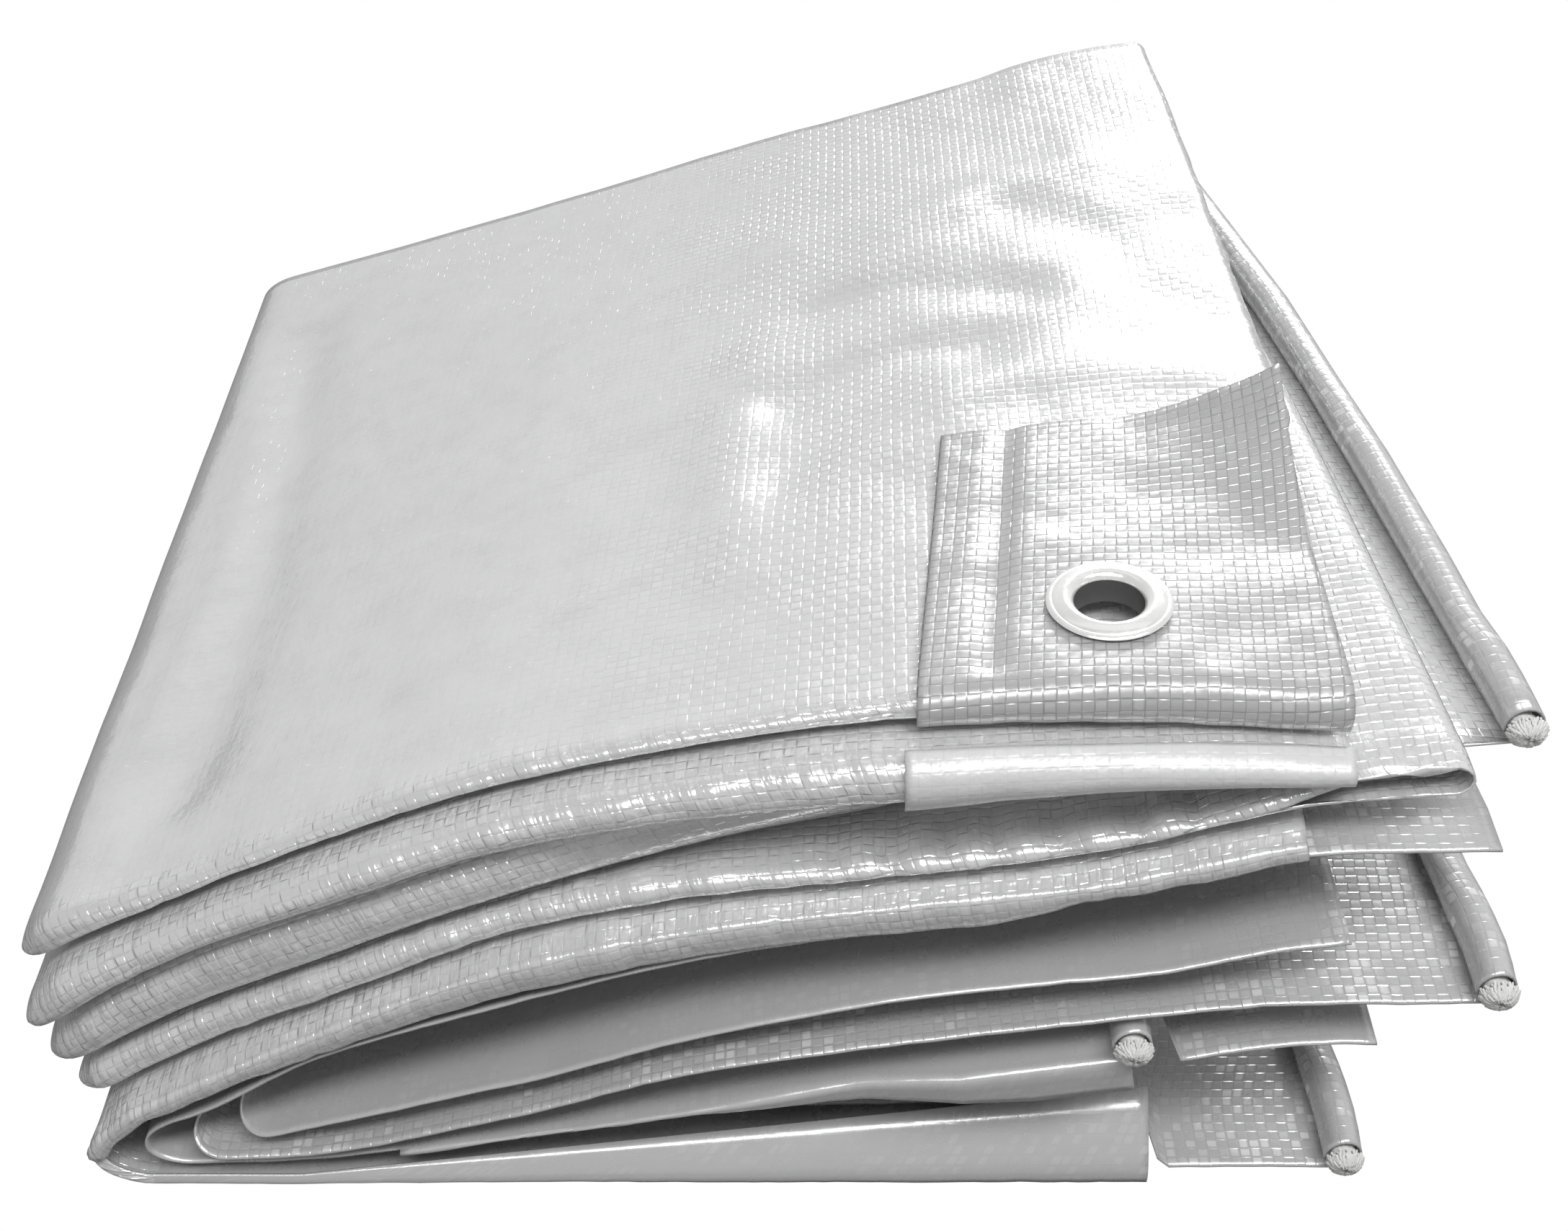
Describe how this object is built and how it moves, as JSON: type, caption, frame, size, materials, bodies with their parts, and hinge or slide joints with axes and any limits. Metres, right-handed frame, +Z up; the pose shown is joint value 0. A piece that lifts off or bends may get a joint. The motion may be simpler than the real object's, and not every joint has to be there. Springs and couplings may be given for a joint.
{
  "type": "folded tarp",
  "caption": "Tarp of glossy silver woven tape cloth lying in its folds, with rope in its hems, a corner patch and a metal eyelet.",
  "frame": {"origin": "centre of the bounding box at the surface that the tarp lies on", "axes": "+Z up, +X along the stack from its round left folds to its open right ends, +Y from the folds in front to the back"},
  "size_m": [0.302, 0.2929, 0.1483],
  "materials": {
    "woven_cloth": "glossy laminated woven tape, silver white",
    "patch_cloth": "glossy laminated woven tape, silver white",
    "eyelet_metal": "pressed, polished",
    "rope": "matte fibre"
  },
  "bodies": {
    "root": {"tarp_sheet": "woven_cloth", "corner_patch": "patch_cloth", "lower_patch": "patch_cloth", "eyelet": "eyelet_metal", "hem_rope_top": "rope", "hem_rope_upper": "rope", "hem_rope_middle": "rope", "hem_rope_inner": "rope", "hem_rope_bottom": "rope"}
  },
  "joints": []
}
